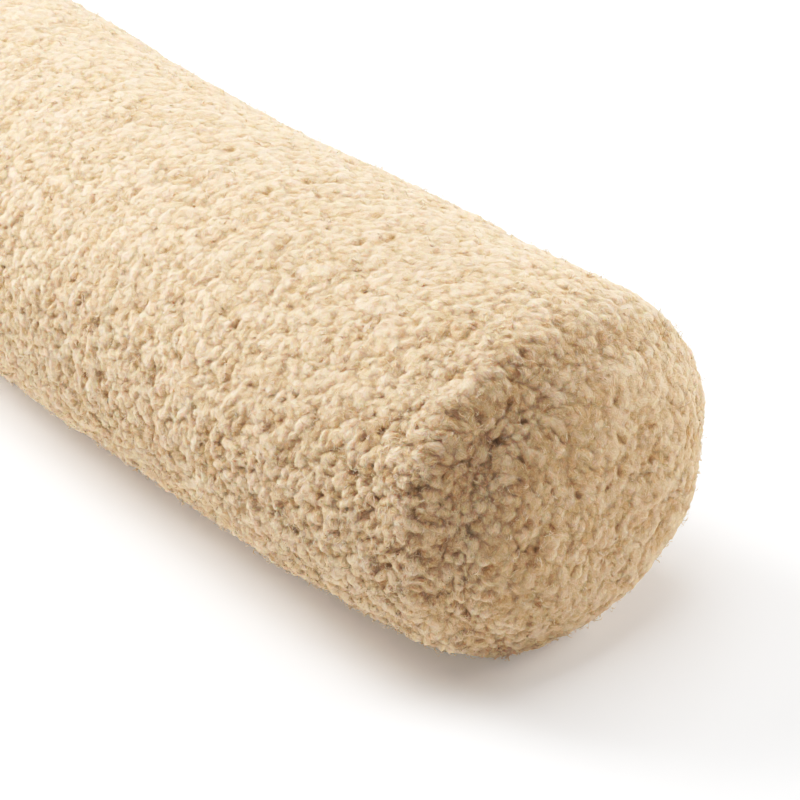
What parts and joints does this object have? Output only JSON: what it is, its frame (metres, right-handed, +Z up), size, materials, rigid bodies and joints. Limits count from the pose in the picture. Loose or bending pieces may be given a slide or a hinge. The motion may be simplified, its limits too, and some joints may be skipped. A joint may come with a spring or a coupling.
{
  "type": "bolster cushion",
  "caption": "Long round bolster cushion in curly cream fleece, filled soft, with a domed round panel closing each end.",
  "frame": {"origin": "on the floor, under the middle of the cushion's box", "axes": "+X along the tube, towards the end that shows in the picture; +Y across it; +Z up from the floor"},
  "size_m": [0.69, 0.2004, 0.1795],
  "materials": {
    "fleece": "curly short pile, matt and soft, cream on the curls and warm sand between them"
  },
  "bodies": {
    "root": {"bolster": "fleece"}
  },
  "joints": []
}
